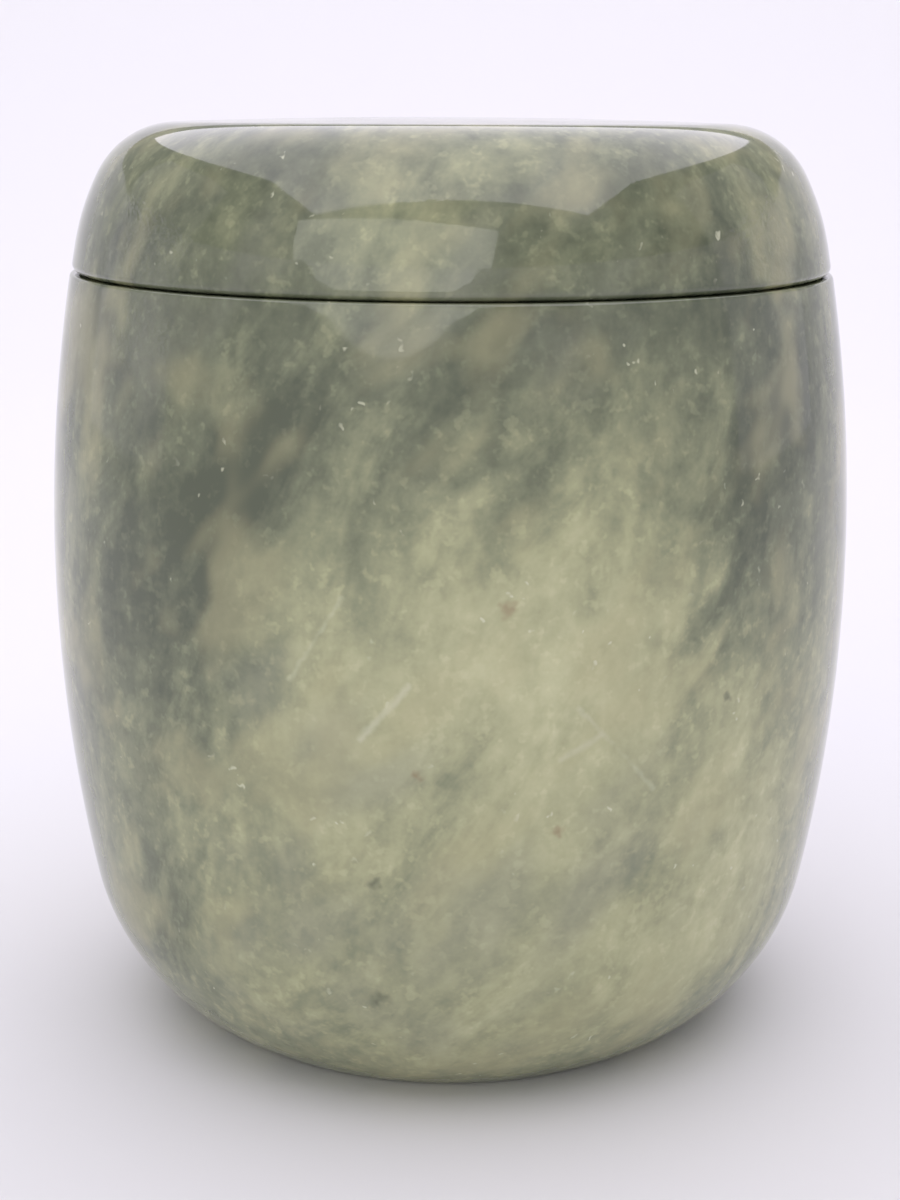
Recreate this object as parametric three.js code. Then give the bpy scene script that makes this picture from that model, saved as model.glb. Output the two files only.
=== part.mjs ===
// Cremation urn turned from jade: a hollow body on a flat foot, and a domed lid that lifts off.
// Millimetres, +Z up. The origin is the centre of the foot, on the plane that the urn stands on.

import * as THREE from 'three';

// The outside. The outline is one chain of tangent arcs. Each arc has a radius, and ends where
// its outward normal reaches an angle, in degrees above the horizontal.
const BELLY_RADIUS = 107;
const BELLY_ARC = 440;
const BELLY_TOP_ANGLE = 11.2;
const SHOULDER_ARC = 65;
const SHOULDER_TOP_ANGLE = 28.1;
const BROW_ARC = 23.5;
const BROW_TOP_ANGLE = 87.9;
const BELLY_FOOT_ANGLE = -10.9;
const HEEL_ARC = 59.3;
const HEEL_FOOT_ANGLE = -60.1;
const FOOT_ARC = 5;

// The joint between the lid and the body.
const SEAM_HEIGHT = 202;
const RIM_ARC = 1;
const LID_EDGE_ARC = 1.2;
const LID_INSET = 0.2;
const MOUTH_RADIUS = 78;
const NECK_DEPTH = 12;
const RING_CLEARANCE = 1;
const RING_DEPTH = 8;

// The hollows of the body and the lid.
const WALL = 18;
const FLOOR = 20;
const CONE_ANGLE = 45;
const CAVITY_CORNER_ARC = 36;
const LID_HOLLOW_RADIUS = 65;
const LID_HOLLOW_HEIGHT = 19;
const CEILING_CORNER_ARC = 14;

// The facets: how many stand around the axis, and how far one may lie inside its arc.
const SIDES = 64;
const SAG = 0.12;

const UP = 90;
const LEVEL = 0;
const DOWN = -90;

const JADE = { color: 0x9ea183, roughness: 0.12, metalness: 0 };

const { degToRad, radToDeg } = THREE.MathUtils;
const sinDeg = (angle) => Math.sin(degToRad(angle));
const cosDeg = (angle) => Math.cos(degToRad(angle));
const asinDeg = (value) => radToDeg(Math.asin(value));
const acosDeg = (value) => radToDeg(Math.acos(value));
const point = (radius, height) => new THREE.Vector2(radius, height);

// The point of an arc where its outward normal has an angle.
function onArc(centre, arc, angle) {
  return point(centre.x + arc * cosDeg(angle), centre.y + arc * sinDeg(angle));
}

// The points along an arc from one normal angle to another, both ends included, close enough
// together for the sag.
function arcPoints(centre, arc, from, to) {
  const widestStep = 2 * acosDeg(1 - SAG / arc);
  const steps = Math.ceil(Math.abs(to - from) / widestStep);
  return Array.from({ length: steps + 1 }, (_, i) => (
    onArc(centre, arc, from + ((to - from) * i) / steps)
  ));
}

// The centre of an arc that carries on from another arc where both have the same normal.
function tangentCentre(centre, arc, angle, nextArc) {
  return onArc(centre, arc - nextArc, angle);
}

// The centres of the outline's arcs. The belly stands as high as the arcs below it add up to.
function outlineCentres() {
  const bellyHeight = FOOT_ARC * (sinDeg(HEEL_FOOT_ANGLE) - sinDeg(DOWN))
    + HEEL_ARC * (sinDeg(BELLY_FOOT_ANGLE) - sinDeg(HEEL_FOOT_ANGLE))
    - BELLY_ARC * sinDeg(BELLY_FOOT_ANGLE);
  const belly = point(BELLY_RADIUS - BELLY_ARC, bellyHeight);
  const heel = tangentCentre(belly, BELLY_ARC, BELLY_FOOT_ANGLE, HEEL_ARC);
  const foot = tangentCentre(heel, HEEL_ARC, HEEL_FOOT_ANGLE, FOOT_ARC);
  const shoulder = tangentCentre(belly, BELLY_ARC, BELLY_TOP_ANGLE, SHOULDER_ARC);
  const brow = tangentCentre(shoulder, SHOULDER_ARC, SHOULDER_TOP_ANGLE, BROW_ARC);
  return { belly, heel, foot, shoulder, brow };
}

// The outside of the body: the flat foot, the heel, the belly up past its widest ring, and the
// rim's rounded edge, which ends level with the seam.
function bodyOutside({ belly, heel, foot }) {
  const rimAngle = asinDeg((SEAM_HEIGHT - belly.y - RIM_ARC) / (BELLY_ARC - RIM_ARC));
  const rim = tangentCentre(belly, BELLY_ARC, rimAngle, RIM_ARC);
  return [
    point(0, 0),
    ...arcPoints(foot, FOOT_ARC, DOWN, HEEL_FOOT_ANGLE),
    ...arcPoints(heel, HEEL_ARC, HEEL_FOOT_ANGLE, BELLY_FOOT_ANGLE).slice(1),
    ...arcPoints(belly, BELLY_ARC, BELLY_FOOT_ANGLE, LEVEL).slice(1),
    ...arcPoints(belly, BELLY_ARC, LEVEL, rimAngle).slice(1),
    ...arcPoints(rim, RIM_ARC, rimAngle, UP).slice(1),
  ];
}

// The inside of the body: a straight neck, a cone that opens into the cavity, a wall parallel to
// the belly, and a rounded corner down to the floor.
function bodyInside({ belly }) {
  const neckFoot = SEAM_HEIGHT - NECK_DEPTH;
  const cavityArc = BELLY_ARC - WALL;
  const coneReach = (MOUTH_RADIUS - belly.x) * sinDeg(CONE_ANGLE)
    + (neckFoot - belly.y) * cosDeg(CONE_ANGLE);
  const coneFootAngle = asinDeg(coneReach / cavityArc) - CONE_ANGLE;
  const cornerHeight = FLOOR + CAVITY_CORNER_ARC;
  const cornerAngle = asinDeg((cornerHeight - belly.y) / (cavityArc - CAVITY_CORNER_ARC));
  const corner = tangentCentre(belly, cavityArc, cornerAngle, CAVITY_CORNER_ARC);
  return [
    point(MOUTH_RADIUS, SEAM_HEIGHT),
    point(MOUTH_RADIUS, neckFoot),
    ...arcPoints(belly, cavityArc, coneFootAngle, cornerAngle),
    ...arcPoints(corner, CAVITY_CORNER_ARC, cornerAngle, DOWN).slice(1),
    point(0, FLOOR),
  ];
}

// The underside of the lid: a hollow with a rounded ceiling, and the ring that drops into the
// mouth of the body and keeps the lid centred.
function lidInside() {
  const ceiling = SEAM_HEIGHT + LID_HOLLOW_HEIGHT;
  const ringFoot = SEAM_HEIGHT - RING_DEPTH;
  const ringRadius = MOUTH_RADIUS - RING_CLEARANCE;
  const corner = point(LID_HOLLOW_RADIUS - CEILING_CORNER_ARC, ceiling - CEILING_CORNER_ARC);
  return [
    point(0, ceiling),
    ...arcPoints(corner, CEILING_CORNER_ARC, UP, LEVEL),
    point(LID_HOLLOW_RADIUS, ringFoot),
    point(ringRadius, ringFoot),
    point(ringRadius, SEAM_HEIGHT),
  ];
}

// The outside of the lid. It carries the outline on, a little inside the body's rim: a rounded
// lower edge, the last of the belly, the shoulder, the brow and an almost flat crown.
function lidOutside({ belly, shoulder, brow }) {
  const inset = ({ x, y }) => point(x - LID_INSET, y);
  const edgeSine = (SEAM_HEIGHT - belly.y + LID_EDGE_ARC) / (BELLY_ARC - LID_EDGE_ARC);
  const edgeAngle = asinDeg(edgeSine);
  const edge = tangentCentre(inset(belly), BELLY_ARC, edgeAngle, LID_EDGE_ARC);
  const browTop = onArc(inset(brow), BROW_ARC, BROW_TOP_ANGLE);
  const crownArc = browTop.x / cosDeg(BROW_TOP_ANGLE);
  const crown = point(0, browTop.y - crownArc * sinDeg(BROW_TOP_ANGLE));
  return [
    ...arcPoints(edge, LID_EDGE_ARC, DOWN, edgeAngle),
    ...arcPoints(inset(belly), BELLY_ARC, edgeAngle, BELLY_TOP_ANGLE).slice(1),
    ...arcPoints(inset(shoulder), SHOULDER_ARC, BELLY_TOP_ANGLE, SHOULDER_TOP_ANGLE).slice(1),
    ...arcPoints(inset(brow), BROW_ARC, SHOULDER_TOP_ANGLE, BROW_TOP_ANGLE).slice(1),
    ...arcPoints(crown, crownArc, BROW_TOP_ANGLE, UP).slice(1, -1),
    point(0, crown.y + crownArc),
  ];
}

// A closed solid turned about the Z axis. Its profile starts and ends on the axis, with the
// solid on its left as radius runs right and height runs up.
function turned(name, profile) {
  const geometry = new THREE.LatheGeometry(profile, SIDES);
  geometry.rotateX(Math.PI / 2);
  const mesh = new THREE.Mesh(geometry, new THREE.MeshStandardMaterial(JADE));
  mesh.name = name;
  return mesh;
}

const centres = outlineCentres();
const urn = new THREE.Group();
urn.add(turned('urn_body', [...bodyOutside(centres), ...bodyInside(centres)]));
urn.add(turned('urn_lid', [...lidInside(), ...lidOutside(centres)]));

export default urn;
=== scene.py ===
"""The looks of a jade cremation urn: its turned body and lift-off lid, in one polished stone.

Metres, +Z up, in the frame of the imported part. The urn is turned about the Z axis, and its front,
where azimuth is 0, faces -Y.
"""

import math

import bpy
from mathutils import Matrix, Vector, noise


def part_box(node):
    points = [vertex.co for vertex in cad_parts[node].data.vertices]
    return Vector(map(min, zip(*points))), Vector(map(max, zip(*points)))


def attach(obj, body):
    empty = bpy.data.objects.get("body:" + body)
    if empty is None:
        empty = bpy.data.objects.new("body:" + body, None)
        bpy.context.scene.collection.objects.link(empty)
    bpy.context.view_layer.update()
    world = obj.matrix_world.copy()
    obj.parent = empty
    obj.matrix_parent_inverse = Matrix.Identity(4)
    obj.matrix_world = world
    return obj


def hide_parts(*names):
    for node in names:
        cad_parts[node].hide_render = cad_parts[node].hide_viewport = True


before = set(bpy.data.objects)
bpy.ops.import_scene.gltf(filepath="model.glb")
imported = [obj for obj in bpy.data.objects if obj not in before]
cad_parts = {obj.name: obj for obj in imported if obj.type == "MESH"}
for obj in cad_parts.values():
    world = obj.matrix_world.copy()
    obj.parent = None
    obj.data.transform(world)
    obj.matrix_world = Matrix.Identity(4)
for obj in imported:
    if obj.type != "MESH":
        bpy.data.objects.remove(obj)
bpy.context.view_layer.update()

# ---------------------------------------------------------------- sizes, from the frame

BODY_LOW, BODY_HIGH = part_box("urn_body")
URN_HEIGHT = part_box("urn_lid")[1].z
BELLY_RADIUS = (BODY_HIGH.x - BODY_LOW.x) / 2
SEAM_HEIGHT = BODY_HIGH.z
MM = BELLY_RADIUS / 107

# The outline is one chain of tangent arcs. Each has a radius, and ends where its outward normal
# reaches an angle, in degrees above the horizontal.
BELLY_ARC = 440 * MM
BELLY_TOP_ANGLE = 11.2
SHOULDER_ARC = 65 * MM
SHOULDER_TOP_ANGLE = 28.1
BROW_ARC = 23.5 * MM
BROW_TOP_ANGLE = 87.9
BELLY_FOOT_ANGLE = -10.9
HEEL_ARC = 59.3 * MM
HEEL_FOOT_ANGLE = -60.1
FOOT_ARC = 5 * MM

RIM_ARC = 1 * MM
LID_EDGE_ARC = 2.0 * MM
LID_INSET = 0.2 * MM
MOUTH_RADIUS = 78 * MM
NECK_DEPTH = 12 * MM
RING_CLEARANCE = 1 * MM
RING_DEPTH = 8 * MM
WALL = 18 * MM
FLOOR = 20 * MM
CONE_ANGLE = 45
CAVITY_CORNER_ARC = 36 * MM
LID_HOLLOW_RADIUS = 65 * MM
LID_HOLLOW_HEIGHT = 19 * MM
CEILING_CORNER_ARC = 14 * MM
INNER_EDGE_ARC = 0.8 * MM
INNER_EDGE_STEPS = 5

# The shadow gap that the lid's lower edge leaves over the body's rim.
GAP_HEIGHT = 0.25 * MM
GAP_DEPTH = 2.5 * MM

SIDES = 288
OUTER_SAG = 0.002 * MM
INNER_SAG = 0.03 * MM
UP, LEVEL, DOWN = 90, 0, -90

# The hand finish: a slow waver all over the polished outside, and small wear along the seam.
WAVER_DEPTH = 0.035 * MM
WAVER_LENGTH = 34 * MM
WEAR_DEPTH = 0.14 * MM
WEAR_LENGTH = 4.5 * MM
WEAR_REACH = 1.6 * MM
PLAIN_RADIUS = MOUTH_RADIUS + RIM_ARC
PLAIN_FROM_HEIGHT = HEEL_ARC / 2


# ---------------------------------------------------------------- turned shapes

def on_arc(centre, arc, angle):
    """The point of an arc, as (radius, height), where its outward normal has an angle."""
    turn = math.radians(angle)
    return centre + arc * Vector((math.cos(turn), math.sin(turn)))


def arc_points(centre, arc, start, end, sag):
    """Points along an arc between two normal angles, close enough together for the sag."""
    widest = 2 * math.degrees(math.acos(1 - sag / arc))
    steps = max(2, math.ceil(abs(end - start) / widest))
    return [on_arc(centre, arc, start + (end - start) * i / steps) for i in range(steps + 1)]


def next_centre(centre, arc, angle, next_arc):
    """The centre of an arc that carries on from another where both have the same normal."""
    return on_arc(centre, arc - next_arc, angle)


def sine(angle):
    return math.sin(math.radians(angle))


def arcsine(value):
    return math.degrees(math.asin(value))


def outline_centres():
    """The centres of the outline's arcs. The belly stands as high as the arcs below it."""
    belly_height = (
        FOOT_ARC * (sine(HEEL_FOOT_ANGLE) + 1)
        + HEEL_ARC * (sine(BELLY_FOOT_ANGLE) - sine(HEEL_FOOT_ANGLE))
        - BELLY_ARC * sine(BELLY_FOOT_ANGLE)
    )
    belly = Vector((BELLY_RADIUS - BELLY_ARC, belly_height))
    heel = next_centre(belly, BELLY_ARC, BELLY_FOOT_ANGLE, HEEL_ARC)
    foot = next_centre(heel, HEEL_ARC, HEEL_FOOT_ANGLE, FOOT_ARC)
    shoulder = next_centre(belly, BELLY_ARC, BELLY_TOP_ANGLE, SHOULDER_ARC)
    brow = next_centre(shoulder, SHOULDER_ARC, SHOULDER_TOP_ANGLE, BROW_ARC)
    return {"belly": belly, "heel": heel, "foot": foot, "shoulder": shoulder, "brow": brow}


def eased(corners, arc):
    """A line through corners, with each inner corner eased by an arc. The ends stay as they are."""
    points = [corners[0]]
    for before, corner, after in zip(corners, corners[1:], corners[2:]):
        back = (before - corner).normalized()
        ahead = (after - corner).normalized()
        half = back.angle(ahead) / 2
        reach = arc / math.tan(half)
        centre = corner + (back + ahead).normalized() * (arc / math.sin(half))
        start = corner + back * reach - centre
        turn = start.angle_signed(corner + ahead * reach - centre)
        for i in range(INNER_EDGE_STEPS + 1):
            points.append(centre + Matrix.Rotation(-turn * i / INNER_EDGE_STEPS, 2) @ start)
    return points + [corners[-1]]


def body_profile(centres):
    """Up the outside of the body from the middle of the foot, and down the inside to the floor."""
    belly, heel, foot = centres["belly"], centres["heel"], centres["foot"]
    rim_angle = arcsine((SEAM_HEIGHT - belly.y - RIM_ARC) / (BELLY_ARC - RIM_ARC))
    rim = next_centre(belly, BELLY_ARC, rim_angle, RIM_ARC)
    outside = [
        *arc_points(foot, FOOT_ARC, DOWN, HEEL_FOOT_ANGLE, OUTER_SAG),
        *arc_points(heel, HEEL_ARC, HEEL_FOOT_ANGLE, BELLY_FOOT_ANGLE, OUTER_SAG)[1:],
        *arc_points(belly, BELLY_ARC, BELLY_FOOT_ANGLE, LEVEL, OUTER_SAG)[1:],
        *arc_points(belly, BELLY_ARC, LEVEL, rim_angle, OUTER_SAG)[1:],
        *arc_points(rim, RIM_ARC, rim_angle, UP, OUTER_SAG)[1:],
    ]
    cavity_arc = BELLY_ARC - WALL
    neck_foot = SEAM_HEIGHT - NECK_DEPTH
    reach = (
        (MOUTH_RADIUS - belly.x) * sine(CONE_ANGLE)
        + (neck_foot - belly.y) * sine(UP - CONE_ANGLE)
    )
    cone_foot_angle = arcsine(reach / cavity_arc) - CONE_ANGLE
    corner_height = FLOOR + CAVITY_CORNER_ARC
    corner_angle = arcsine((corner_height - belly.y) / (cavity_arc - CAVITY_CORNER_ARC))
    corner = next_centre(belly, cavity_arc, corner_angle, CAVITY_CORNER_ARC)
    wall = arc_points(belly, cavity_arc, cone_foot_angle, corner_angle, INNER_SAG)
    neck = [
        outside[-1],
        Vector((MOUTH_RADIUS, SEAM_HEIGHT)),
        Vector((MOUTH_RADIUS, neck_foot)),
        wall[0],
        wall[1],
    ]
    inside = [
        *eased(neck, INNER_EDGE_ARC)[1:],
        *wall[2:],
        *arc_points(corner, CAVITY_CORNER_ARC, corner_angle, DOWN, INNER_SAG)[1:],
    ]
    return [Vector((0, 0)), *outside, *inside, Vector((0, FLOOR))]


def lid_profile(centres):
    """Down the hollow of the lid from the middle of its ceiling, round the ring that drops into
    the mouth, and up the outside to the middle of the crown."""
    shift = Vector((LID_INSET, 0))
    belly = centres["belly"] - shift
    shoulder = centres["shoulder"] - shift
    brow = centres["brow"] - shift
    ceiling = SEAM_HEIGHT + LID_HOLLOW_HEIGHT
    ring_foot = SEAM_HEIGHT - RING_DEPTH
    ring_radius = MOUTH_RADIUS - RING_CLEARANCE
    corner = Vector((LID_HOLLOW_RADIUS - CEILING_CORNER_ARC, ceiling - CEILING_CORNER_ARC))
    edge_foot = SEAM_HEIGHT + GAP_HEIGHT
    edge_angle = arcsine((edge_foot - belly.y + LID_EDGE_ARC) / (BELLY_ARC - LID_EDGE_ARC))
    edge = next_centre(belly, BELLY_ARC, edge_angle, LID_EDGE_ARC)
    brow_top = on_arc(brow, BROW_ARC, BROW_TOP_ANGLE)
    crown_arc = brow_top.x / sine(UP - BROW_TOP_ANGLE)
    crown = Vector((0, brow_top.y - crown_arc * sine(BROW_TOP_ANGLE)))
    hollow = arc_points(corner, CEILING_CORNER_ARC, UP, LEVEL, INNER_SAG)
    lower_edge = arc_points(edge, LID_EDGE_ARC, DOWN, edge_angle, OUTER_SAG)
    ring = [
        hollow[-1],
        Vector((LID_HOLLOW_RADIUS, ring_foot)),
        Vector((ring_radius, ring_foot)),
        Vector((ring_radius, SEAM_HEIGHT)),
        Vector((lower_edge[0].x - GAP_DEPTH, SEAM_HEIGHT)),
    ]
    gap_top = Vector((ring[-1].x, edge_foot))
    outside = [
        *lower_edge,
        *arc_points(belly, BELLY_ARC, edge_angle, BELLY_TOP_ANGLE, OUTER_SAG)[1:],
        *arc_points(shoulder, SHOULDER_ARC, BELLY_TOP_ANGLE, SHOULDER_TOP_ANGLE, OUTER_SAG)[1:],
        *arc_points(brow, BROW_ARC, SHOULDER_TOP_ANGLE, BROW_TOP_ANGLE, OUTER_SAG)[1:],
        *arc_points(crown, crown_arc, BROW_TOP_ANGLE, UP, OUTER_SAG)[1:-1],
    ]
    return [
        Vector((0, ceiling)),
        *hollow,
        *eased(ring, INNER_EDGE_ARC)[1:],
        gap_top,
        *outside,
        Vector((0, crown.y + crown_arc)),
    ]


def hand_finish(point):
    """A point moved in or out by the slight waver of hand polishing, and worn a little along the
    seam. The neck, the lid's hollow and ring, and the crown keep their turned shape."""
    out = Vector((point.x, point.y, 0))
    if out.length < PLAIN_RADIUS and point.z > PLAIN_FROM_HEIGHT:
        return point
    waver = WAVER_DEPTH * noise.noise(point / WAVER_LENGTH)
    from_seam = abs(point.z - SEAM_HEIGHT)
    wear = WEAR_DEPTH * abs(noise.noise(point / WEAR_LENGTH)) * math.exp(-from_seam / WEAR_REACH)
    return point + out.normalized() * (waver - wear)


def turned_piece(name, profile):
    """A closed mesh turned about the Z axis from a profile that starts and ends on the axis."""
    rings = profile[1:-1]
    points = [Vector((0, 0, profile[0].y))]
    for ring in rings:
        for side in range(SIDES):
            azimuth = 2 * math.pi * side / SIDES
            points.append(hand_finish(around(azimuth, ring.x, ring.y)))
    points.append(Vector((0, 0, profile[-1].y)))
    last = len(points) - 1
    faces = []
    for side in range(SIDES):
        here, there = 1 + side, 1 + (side + 1) % SIDES
        faces.append((0, there, here))
        for ring in range(len(rings) - 1):
            low, high = ring * SIDES, (ring + 1) * SIDES
            faces.append((low + here, low + there, high + there, high + here))
        top = (len(rings) - 1) * SIDES
        faces.append((top + here, top + there, last))
    mesh = bpy.data.meshes.new(name)
    mesh.from_pydata(points, [], faces)
    mesh.shade_smooth()
    piece = bpy.data.objects.new(name, mesh)
    bpy.context.scene.collection.objects.link(piece)
    return piece


def around(azimuth, radius, height):
    """A point at an azimuth in radians, counted from -Y towards +X."""
    return Vector((radius * math.sin(azimuth), -radius * math.cos(azimuth), height))


# ---------------------------------------------------------------- jade

# The stone's fibres run up to the right across the front. A place is shortened along them, so
# that noise taken there is drawn out, and pushed about: the size and the reach of each push.
FIBRE_ANGLE = 52
FIBRE_STRETCH = 0.55
ALONG_FIBRES = (FIBRE_STRETCH, 1, 1)
DRIFT = (45 * MM, 34 * MM)
FRAY = (11 * MM, 20 * MM)
RAGGED = (3 * MM, 5 * MM)

# Kinds of noise: octaves and roughness. All of it lies about NOISE_MIDDLE.
PUSH_NOISE = (1, 0.6)
PATCH_NOISE = (2, 0.6)
SOFT_NOISE = (1, 0.5)
SMOOTH_NOISE = (0, 0.5)
NOISE_MIDDLE = (0.5, 0.5, 0.5)

# How pale the stone is low down and high up, from 0 for the darkest, before the clouds.
PALE_HEIGHTS = (30 * MM, 200 * MM)
PALE_TONES = (0.50, 0.36)

# Clouds in the stone: azimuth in degrees, height and radius in millimetres, and how much paler
# (or darker, below zero) the stone is at the cloud's middle.
CLOUDS = [
    (-8, 130, 44, 0.38),
    (16, 130, 46, 0.36),
    (4, 100, 48, 0.14),
    (22, 100, 34, 0.20),
    (-20, 52, 46, 0.20),
    (16, 48, 56, 0.28),
    (46, 76, 44, 0.28),
    (41, 95, 16, 0.24),
    (34, 117, 18, 0.20),
    (-40, 134, 42, -0.34),
    (-28, 108, 28, -0.10),
    (-30, 176, 38, -0.20),
    (-60, 176, 44, -0.15),
    (4, 184, 50, -0.26),
    (47, 168, 50, -0.34),
    (38, 146, 26, -0.12),
    (28, 70, 18, -0.20),
    (26, 131, 16, 0.16),
    (-60, 100, 26, -0.14),
    (-58, 214, 36, -0.20),
    (38, 38, 32, 0.16),
    (-48, 42, 34, -0.24),
    (-7, 68, 22, -0.24),
    (-34, 215, 30, -0.18),
    (36, 212, 28, -0.22),
    (0, 215, 40, 0.12),
    (100, 120, 52, 0.30),
    (128, 60, 46, 0.22),
    (150, 170, 50, -0.26),
    (178, 104, 54, 0.28),
    (212, 150, 44, -0.28),
    (236, 74, 52, 0.26),
    (262, 128, 40, 0.14),
    (286, 60, 40, -0.20),
    (84, 190, 40, -0.20),
]

# Layers of finer pattern. Each is noise of a size in millimetres, with octaves and a roughness,
# taken at a place; it changes the tone from one value to another as the noise does.
LAYERS = [
    ("fibres", 14.0, 3, 0.62, (0.30, 0.70), (-0.09, 0.09), "LINEAR"),
    ("flocks", 16.0, 4, 0.66, (0.42, 0.60), (-0.08, 0.08), "SMOOTHSTEP"),
    ("mottle", 6.5, 3, 0.68, (0.30, 0.70), (-0.11, 0.11), "LINEAR"),
    ("flakes", 3.6, 2, 0.60, (0.55, 0.70), (0, 0.14), "SMOOTHSTEP"),
    ("upright", 6.0, 2, 0.60, (0.30, 0.70), (-0.06, 0.06), "LINEAR"),
]
FIBRES_STRETCH = (0.65, 1, 1)
UPRIGHT_STRETCH = (1, 1, 0.22)

# Small dark grains and stains: azimuth, height and radius as above.
GRAINS = [(-10, 36, 4), (-10, 68, 2.5), (38, 108, 2), (164, 82, 3), (248, 140, 2.5)]
STAINS = [(7, 135, 3), (-4, 96, 2), (14, 81, 2.5), (200, 66, 2.5)]

# Patches where the polish is pebbled: azimuth, height and radius as above.
PEBBLED = [(-47, 213, 19), (-46, 192, 16), (49, 214, 18), (196, 212, 17), (150, 60, 15)]

# Straight healed cracks: where each starts and ends, its width in millimetres, and how much its
# pale colour shows.
CRACKS = [
    ((-11, 104), (-5, 117), 1.5, 0.40),
    ((14, 99), (19, 104), 1.4, 0.25),
    ((16, 111), (27, 89), 1.1, 0.22),
    ((-20, 117), (-13, 137), 0.9, 0.20),
    ((190, 60), (204, 92), 1.3, 0.45),
    ((118, 132), (131, 112), 1.0, 0.35),
]

# How far a crack's line is pushed about, as a share of the push at a grain's edge.
CRACK_RAGGEDNESS = 0.3

# Pale flecks: how far apart, how wide, how much they show, and the patches they keep to.
FLECK_SPACING = 5.5 * MM
FLECK_EDGES = (0.05, 0.16)
FLECK_STRENGTH = 0.6
FLECK_PATCH = 22 * MM
FLECK_PATCH_EDGES = (0.52, 0.66)

# Ash-grey and warm patches: their size, the noise they lie between, and how much they show.
ASH_PATCHES = (40 * MM, (0.52, 0.72), 0.45)
WARM_PATCHES = (22 * MM, (0.48, 0.68), 0.45)

# The polish: how rough, in patches of a size, and its pebbled skin.
JADE_IOR = 1.6
ROUGHNESS = (0.035, 0.09)
ROUGHNESS_PATCH = 30 * MM
ROUGHNESS_PATCH_EDGES = (0.35, 0.75)
PEBBLE_SIZE = 1.3 * MM
PEBBLE_DEPTH = 0.14 * MM
PEBBLE_SHARES = (0.015, 0.06)
PEBBLE_PATCH = 25 * MM
PEBBLE_PATCH_EDGES = (0.50, 0.70)

# The stone's colours. A tone of 1 stands at TONE_SCALE along them, so that pale clouds have
# room to add up.
TONE_SCALE = 0.8
STONE_COLOURS = [
    (0.0, (0.082, 0.096, 0.060)),
    (0.2, (0.142, 0.160, 0.098)),
    (0.4, (0.245, 0.262, 0.155)),
    (0.6, (0.375, 0.382, 0.220)),
    (0.8, (0.475, 0.477, 0.282)),
    (1.0, (0.560, 0.560, 0.345)),
]
ASH_COLOUR = (0.225, 0.235, 0.180, 1)
WARM_COLOUR = (0.400, 0.385, 0.215, 1)
GRAIN_COLOUR = (0.060, 0.070, 0.045, 1)
STAIN_COLOUR = (0.240, 0.165, 0.085, 1)
SPOT_STRENGTH = 0.6
FLECK_COLOUR = (0.640, 0.650, 0.470, 1)


class Nodes:
    """Adds nodes to a material, and feeds their sockets from numbers or from other nodes."""

    def __init__(self, material):
        self.tree = material.node_tree

    def add(self, kind, **settings):
        made = self.tree.nodes.new("ShaderNode" + kind)
        for setting, value in settings.items():
            setattr(made, setting, value)
        return made

    def feed(self, socket, value):
        if isinstance(value, bpy.types.NodeSocket):
            self.tree.links.new(value, socket)
        else:
            socket.default_value = value

    def maths(self, operation, first, second):
        made = self.add("Math", operation=operation)
        self.feed(made.inputs[0], first)
        self.feed(made.inputs[1], second)
        return made.outputs[0]

    def vector(self, operation, first, second, output="Vector"):
        made = self.add("VectorMath", operation=operation)
        self.feed(made.inputs[0], first)
        self.feed(made.inputs[1], second)
        return made.outputs[output]

    def noise(self, place, size, detail, rough, output="Fac"):
        """Noise whose features are about size metres across, with octaves and a roughness."""
        made = self.add("TexNoise")
        self.feed(made.inputs["Vector"], place)
        made.inputs["Scale"].default_value = 1 / size
        made.inputs["Detail"].default_value = detail
        made.inputs["Roughness"].default_value = rough
        return made.outputs[output]

    def product(self, first, *others):
        for other in others:
            first = self.maths("MULTIPLY", first, other)
        return first

    def pushed(self, place, size, reach):
        """A place pushed about by noise of a size, up to about half of reach each way."""
        push = self.noise(place, size, *PUSH_NOISE, "Color")
        push = self.vector("SUBTRACT", push, NOISE_MIDDLE)
        push = self.vector("MULTIPLY", push, (reach, reach, reach))
        return self.vector("ADD", place, push)

    def remap(self, value, low, high, to_low=0.0, to_high=1.0, ease="SMOOTHSTEP"):
        made = self.add("MapRange", interpolation_type=ease)
        self.feed(made.inputs["Value"], value)
        made.inputs["From Min"].default_value = low
        made.inputs["From Max"].default_value = high
        made.inputs["To Min"].default_value = to_low
        made.inputs["To Max"].default_value = to_high
        return made.outputs["Result"]

    def ramp(self, value, stops):
        """The colours of stops, each a position from 0 to 1 and a colour, blended at a value."""
        made = self.add("ValToRGB")
        while len(made.color_ramp.elements) < len(stops):
            made.color_ramp.elements.new(0.5)
        for element, (position, colour) in zip(made.color_ramp.elements, stops):
            element.position = position
            element.color = (*colour, 1)
        self.feed(made.inputs["Fac"], value)
        return made.outputs["Color"]

    def blend(self, share, first, second):
        """The first colour with a share of the second one mixed in."""
        made = self.add("Mix", data_type="RGBA", blend_type="MIX")
        factor, _, _, _, _, _, first_colour, second_colour = made.inputs[:8]
        mixed = made.outputs[2]
        self.feed(factor, share)
        self.feed(first_colour, first)
        self.feed(second_colour, second)
        return mixed


def surface_place(azimuth, height):
    """The point at an azimuth in degrees and a height in millimetres, on the belly's arc and that
    arc carried on over the lid."""
    centre = outline_centres()["belly"]
    rise = height * MM - centre.y
    radius = centre.x + math.sqrt(BELLY_ARC ** 2 - rise ** 2)
    return around(math.radians(azimuth), radius, height * MM)


def fibre_frame():
    """Turns a place so that X runs along the stone's fibres, and shortens it along them."""
    turn = Matrix.Rotation(math.radians(FIBRE_ANGLE), 4, "Y")
    return Matrix.Diagonal((*ALONG_FIBRES, 1)) @ turn


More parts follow.
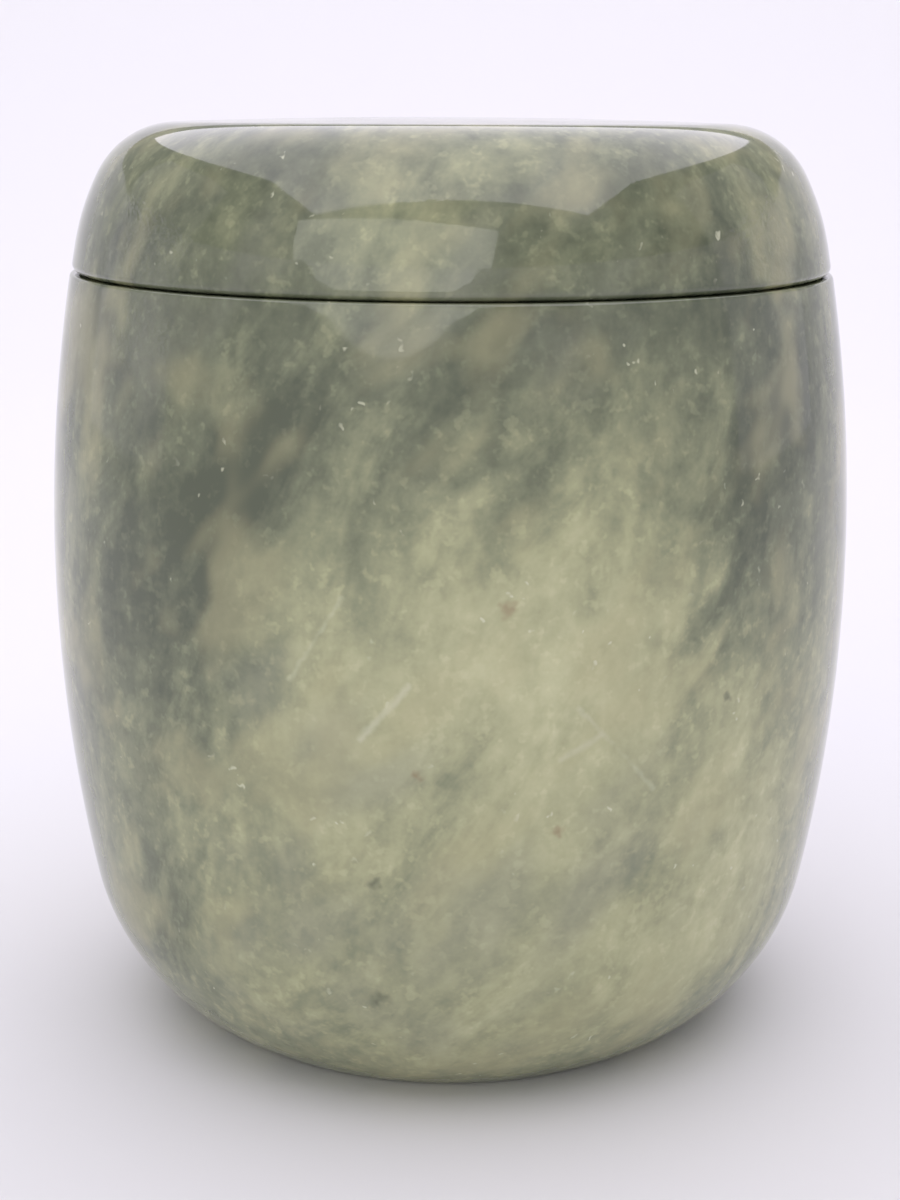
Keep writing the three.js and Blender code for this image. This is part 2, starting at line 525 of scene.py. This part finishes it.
def jade(name):
    material = bpy.data.materials.new(name)
    material.use_nodes = True
    nodes = Nodes(material)
    shader = material.node_tree.nodes["Principled BSDF"]
    place = nodes.add("TexCoord").outputs["Object"]

    turned = nodes.add("Mapping", vector_type="POINT")
    nodes.feed(turned.inputs["Vector"], place)
    turned.inputs["Rotation"].default_value = (0, math.radians(FIBRE_ANGLE), 0)
    along = nodes.vector("MULTIPLY", turned.outputs["Vector"], ALONG_FIBRES)
    drifted = nodes.pushed(along, *DRIFT)
    frayed = nodes.pushed(drifted, *FRAY)

    tone = nodes.maths("ADD", cloud_tone(nodes, frayed, place), fine_tone(nodes, drifted, place))
    nodes.feed(shader.inputs["Base Color"], stone_colour(nodes, tone, along, place))

    polish = nodes.noise(place, ROUGHNESS_PATCH, *PATCH_NOISE)
    roughness = nodes.remap(polish, *ROUGHNESS_PATCH_EDGES, *ROUGHNESS)
    nodes.feed(shader.inputs["Roughness"], roughness)
    shader.inputs["IOR"].default_value = JADE_IOR
    nodes.feed(shader.inputs["Normal"], polish_bump(nodes, place))
    return material


def cloud_tone(nodes, frayed, place):
    """How pale the stone is: paler low down, then each cloud added about its middle."""
    parts = nodes.add("SeparateXYZ")
    nodes.feed(parts.inputs[0], place)
    tone = nodes.remap(parts.outputs["Z"], *PALE_HEIGHTS, *PALE_TONES)
    turn = fibre_frame()
    for azimuth, height, radius, strength in CLOUDS:
        middle = turn @ surface_place(azimuth, height)
        away = nodes.vector("DISTANCE", frayed, tuple(middle), "Value")
        tone = nodes.maths("ADD", tone, nodes.remap(away, 0, radius * MM, strength, 0))
    return tone


def fine_tone(nodes, drifted, place):
    """All the layers of finer pattern, as one change of tone about nothing."""
    places = {
        "fibres": nodes.vector("MULTIPLY", drifted, FIBRES_STRETCH),
        "flocks": drifted,
        "mottle": place,
        "flakes": place,
        "upright": nodes.vector("MULTIPLY", place, UPRIGHT_STRETCH),
    }
    tone = 0.0
    for name, size, octaves, rough, edges, change, ease in LAYERS:
        pattern = nodes.noise(places[name], size * MM, octaves, rough)
        tone = nodes.maths("ADD", nodes.remap(pattern, *edges, *change, ease), tone)
    return tone


def stone_colour(nodes, tone, along, place):
    """The tone as jade colours, tinted in patches, with grains, stains, cracks and flecks."""
    colour = nodes.ramp(nodes.product(tone, TONE_SCALE), STONE_COLOURS)
    for (size, edges, strength), tint in ((ASH_PATCHES, ASH_COLOUR), (WARM_PATCHES, WARM_COLOUR)):
        patch = nodes.remap(nodes.noise(along, size, *PATCH_NOISE), *edges, 0, strength)
        colour = nodes.blend(patch, colour, tint)

    ragged = nodes.pushed(place, *RAGGED)
    for spots, tint in ((GRAINS, GRAIN_COLOUR), (STAINS, STAIN_COLOUR)):
        for azimuth, height, radius in spots:
            middle = tuple(surface_place(azimuth, height))
            away = nodes.vector("DISTANCE", ragged, middle, "Value")
            colour = nodes.blend(nodes.remap(away, 0, radius * MM, SPOT_STRENGTH, 0), colour, tint)

    size, reach = RAGGED
    bent = nodes.pushed(place, size, reach * CRACK_RAGGEDNESS)
    for start, end, width, strength in CRACKS:
        near = crack_share(nodes, bent, surface_place(*start), surface_place(*end), width * MM)
        colour = nodes.blend(nodes.product(near, strength), colour, FLECK_COLOUR)

    flecks = nodes.add("TexVoronoi", feature="F1")
    nodes.feed(flecks.inputs["Vector"], ragged)
    flecks.inputs["Scale"].default_value = 1 / FLECK_SPACING
    fleck = nodes.remap(flecks.outputs["Distance"], *FLECK_EDGES, FLECK_STRENGTH, 0)
    patch = nodes.remap(nodes.noise(place, FLECK_PATCH, *SOFT_NOISE), *FLECK_PATCH_EDGES)
    return nodes.blend(nodes.product(fleck, patch), colour, FLECK_COLOUR)


def crack_share(nodes, place, start, end, width):
    """1 on the line from start to end, falling to 0 over the crack's width to each side."""
    line = (end - start).normalized()
    offset = nodes.vector("SUBTRACT", place, tuple(start))
    run = nodes.vector("DOT_PRODUCT", offset, tuple(line), "Value")
    held = nodes.add("Clamp")
    nodes.feed(held.inputs["Value"], run)
    held.inputs["Min"].default_value = 0.0
    held.inputs["Max"].default_value = (end - start).length
    scaled = nodes.add("VectorMath", operation="SCALE")
    scaled.inputs[0].default_value = tuple(line)
    nodes.feed(scaled.inputs["Scale"], held.outputs["Result"])
    away = nodes.vector("DISTANCE", offset, scaled.outputs["Vector"], "Value")
    return nodes.remap(away, 0, width, 1, 0)


def polish_bump(nodes, place):
    """The pebbled skin that polishing leaves on a fibrous stone, strong in a few patches."""
    slow = nodes.noise(place, PEBBLE_PATCH, *SMOOTH_NOISE)
    share = nodes.remap(slow, *PEBBLE_PATCH_EDGES, *PEBBLE_SHARES)
    for azimuth, height, radius in PEBBLED:
        away = nodes.vector("DISTANCE", place, tuple(surface_place(azimuth, height)), "Value")
        patch = nodes.remap(away, radius * MM / 2, radius * MM, 1, 0)
        share = nodes.maths("MAXIMUM", share, patch)
    bump = nodes.add("Bump")
    pebbles = nodes.noise(place, PEBBLE_SIZE, *SOFT_NOISE)
    nodes.feed(bump.inputs["Height"], nodes.product(pebbles, share))
    bump.inputs["Strength"].default_value = 1.0
    bump.inputs["Distance"].default_value = PEBBLE_DEPTH
    return bump.outputs["Normal"]


# ---------------------------------------------------------------- stage, light and camera

STAGE_FLAT = 1.3
STAGE_CURVE = 0.9
STAGE_SIDES = 96
STAGE_STEP = 6
STAGE_COLOUR = (0.74, 0.74, 0.74, 1)
STAGE_ROUGHNESS = 0.9
STAGE_SPECULAR = 0.1


def make_stage():
    """A pale round floor whose edge sweeps up all round, so that no horizon shows."""
    rings = []
    for angle in range(LEVEL, UP + 1, STAGE_STEP):
        radius = STAGE_FLAT + STAGE_CURVE * sine(angle)
        rings.append(Vector((radius, STAGE_CURVE * (1 - sine(UP - angle)))))
    points = [Vector((0, 0, 0))]
    for ring in rings:
        for side in range(STAGE_SIDES):
            points.append(around(2 * math.pi * side / STAGE_SIDES, ring.x, ring.y))
    faces = []
    for side in range(STAGE_SIDES):
        here, there = 1 + side, 1 + (side + 1) % STAGE_SIDES
        faces.append((0, here, there))
        for ring in range(len(rings) - 1):
            low, high = ring * STAGE_SIDES, (ring + 1) * STAGE_SIDES
            faces.append((low + there, low + here, high + here, high + there))
    mesh = bpy.data.meshes.new("stage")
    mesh.from_pydata(points, [], faces)
    mesh.shade_smooth()
    stage = bpy.data.objects.new("stage", mesh)
    bpy.context.scene.collection.objects.link(stage)
    material = bpy.data.materials.new("stage_paper")
    material.use_nodes = True
    shader = material.node_tree.nodes["Principled BSDF"]
    shader.inputs["Base Color"].default_value = STAGE_COLOUR
    shader.inputs["Roughness"].default_value = STAGE_ROUGHNESS
    shader.inputs["Specular IOR Level"].default_value = STAGE_SPECULAR
    mesh.materials.append(material)


# A plain even world and a few large soft lights. The same lights shine on the stone and show in
# its polish. Each has a place, what it faces, its width and length, its power in watts for each
# square metre, and its colour.
AMBIENT_COLOUR = (0.36, 0.36, 0.34, 1)
COOL = (0.90, 0.85, 1.0)
WARM = (1.0, 0.99, 0.94)
MIDDLE = (0, 0, URN_HEIGHT / 2)
SOFT_LIGHTS = [
    ("overhead", (0, 0.8, 1.5), (0, 0.8, 0), (2.6, 4.2), 5.2, COOL),
    ("key", (-0.6, -1.9, 0.9), MIDDLE, (2.2, 1.3), 4.4, WARM),
    ("left_side", (-1.25, 0.25, 0.55), MIDDLE, (0.9, 1.0), 0.8, COOL),
    ("right_side", (1.25, 0.25, 0.55), MIDDLE, (0.9, 1.0), 0.8, COOL),
]


def make_world():
    world = bpy.data.worlds.new("studio")
    world.use_nodes = True
    world.node_tree.nodes["Background"].inputs["Color"].default_value = AMBIENT_COLOUR
    bpy.context.scene.world = world


def make_soft_light(name, place, aim, size, power, colour):
    """A rectangular soft light, which the camera doesn't see but the polish does."""
    width, length = size
    data = bpy.data.lights.new(name, "AREA")
    data.shape = "RECTANGLE"
    data.size = width
    data.size_y = length
    data.energy = power * width * length
    data.color = colour
    light = bpy.data.objects.new(name, data)
    towards = Vector(aim) - Vector(place)
    light.location = place
    light.rotation_euler = towards.to_track_quat("-Z", "Y").to_euler()
    light.visible_camera = False
    bpy.context.scene.collection.objects.link(light)


CAMERA_DISTANCE = 5 * BELLY_RADIUS
CAMERA_HEIGHT = 1.007 * URN_HEIGHT
CAMERA_DIP = 13.86
CAMERA_ROLL = 0.25
LENS = 59.53
SENSOR = 36
NEAREST_SEEN = 0.01


def make_camera():
    data = bpy.data.cameras.new("camera")
    data.lens = LENS
    data.sensor_width = SENSOR
    data.clip_start = NEAREST_SEEN
    camera = bpy.data.objects.new("camera", data)
    dip = Matrix.Rotation(math.radians(UP - CAMERA_DIP), 4, "X")
    roll = Matrix.Rotation(math.radians(CAMERA_ROLL), 4, "Z")
    camera.matrix_world = Matrix.Translation((0, -CAMERA_DISTANCE, CAMERA_HEIGHT)) @ dip @ roll
    bpy.context.scene.collection.objects.link(camera)
    bpy.context.scene.camera = camera


# ---------------------------------------------------------------- the urn

def make_urn():
    centres = outline_centres()
    body = turned_piece("urn_body_jade", body_profile(centres))
    lid = turned_piece("urn_lid_jade", lid_profile(centres))
    stone = jade("clouded_jade")
    for piece, node, slot in ((body, "urn_body", "jade_body"), (lid, "urn_lid", "jade_lid")):
        piece.data.materials.append(stone)
        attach(piece, "root")
        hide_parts(node)


make_camera()
make_world()
for soft_light in SOFT_LIGHTS:
    make_soft_light(*soft_light)
make_stage()
make_urn()
bpy.context.scene.view_settings.view_transform = "Standard"
